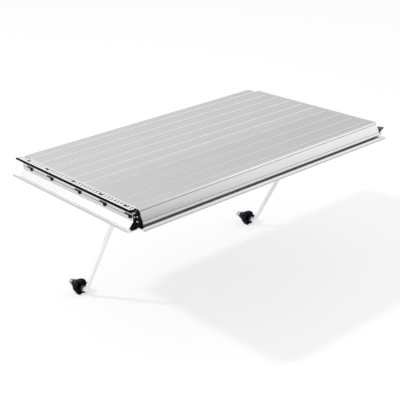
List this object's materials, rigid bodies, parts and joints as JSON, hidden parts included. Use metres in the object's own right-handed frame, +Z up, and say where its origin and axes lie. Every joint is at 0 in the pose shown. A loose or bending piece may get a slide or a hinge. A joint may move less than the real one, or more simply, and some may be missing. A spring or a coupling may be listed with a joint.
{
  "type": "saw table extension",
  "caption": "Extruded aluminium side table for a bench saw, with a graduated end rail, rimmed edge rails and folding struts that clamp to the saw's leg with lobed knobs.",
  "frame": {"origin": "midway between the two bolt holes in the side that meets the saw, 16 mm below the top", "axes": "+X away from the saw, +Y along the table away from the operator's end, +Z up"},
  "size_m": [0.4301, 0.7272, 0.338],
  "materials": {
    "plank": "brushed along the plank, clear anodised",
    "rail": "satin clear anodised",
    "cast_block": "as cast, with machined faces",
    "black_plastic": "fine moulded grain",
    "knob_plastic": "fine moulded grain, blue black",
    "scale": "white enamel with printed divisions",
    "black_steel": "black oxide",
    "zinc_steel": "bright zinc plate",
    "strut": "pale grey powder coat",
    "brass": "turned"
  },
  "bodies": {
    "table": {"bracket_screws_front": "zinc_steel", "bracket_screws_rear": "zinc_steel", "front_corner_cap": "black_plastic", "front_rail": "rail", "front_rail_screws": "zinc_steel", "front_scale_strip": "scale", "inner_plank": "plank", "outer_plank": "plank", "outer_rail": "rail", "pivot_bolt_front": "zinc_steel", "pivot_bolt_rear": "zinc_steel", "pivot_nut_front": "zinc_steel", "pivot_nut_rear": "zinc_steel", "plank_key": "rail", "rear_corner_cap": "black_plastic", "rear_rail": "rail", "rear_rail_screws": "zinc_steel", "saw_block_front": "cast_block", "saw_block_rear": "cast_block", "saw_block_screws": "zinc_steel", "scale_carrier": "black_plastic", "scale_clips": "black_plastic", "scale_screws": "black_steel", "scale_strip": "scale", "strut_bracket_front": "zinc_steel", "strut_bracket_rear": "zinc_steel"},
    "strut_front": {"strut_front": "strut", "hub_nut_front": "zinc_steel", "tip_disc_front": "zinc_steel"},
    "washer_front": {"pressure_washer_front": "zinc_steel"},
    "knob_front": {"knob_front": "knob_plastic", "knob_insert_front": "brass"},
    "strut_rear": {"strut_rear": "strut", "hub_nut_rear": "zinc_steel", "tip_disc_rear": "zinc_steel"},
    "washer_rear": {"pressure_washer_rear": "zinc_steel"},
    "knob_rear": {"knob_rear": "knob_plastic", "knob_insert_rear": "brass"}
  },
  "joints": [
    {"name": "strut_front_fold", "type": "hinge", "parent": "table", "child": "strut_front", "pos_m": [0.261, -0.2628, -0.0175], "axis": [0, 1, 0], "range_deg": [0, 52]},
    {"name": "washer_front_slide", "type": "slide", "parent": "strut_front", "child": "washer_front", "axis": [-1, 0, 0], "range_m": [0, 0.00501]},
    {"name": "knob_front_turn", "type": "hinge", "parent": "washer_front", "child": "knob_front", "pos_m": [0.03408, -0.2628, -0.30448], "axis": [-1, 0, 0], "range_deg": [0, 1440]},
    {"name": "strut_rear_fold", "type": "hinge", "parent": "table", "child": "strut_rear", "pos_m": [0.261, 0.2628, -0.0175], "axis": [0, 1, 0], "range_deg": [0, 52]},
    {"name": "washer_rear_slide", "type": "slide", "parent": "strut_rear", "child": "washer_rear", "axis": [-1, 0, 0], "range_m": [0, 0.00501]},
    {"name": "knob_rear_turn", "type": "hinge", "parent": "washer_rear", "child": "knob_rear", "pos_m": [0.03408, 0.2628, -0.30448], "axis": [-1, 0, 0], "range_deg": [0, 1440]}
  ],
  "couplings": [
    {"joint": "washer_front_slide", "follows": "knob_front_turn", "m_per_rad": 0.00019894},
    {"joint": "washer_rear_slide", "follows": "knob_rear_turn", "m_per_rad": 0.00019894}
  ]
}
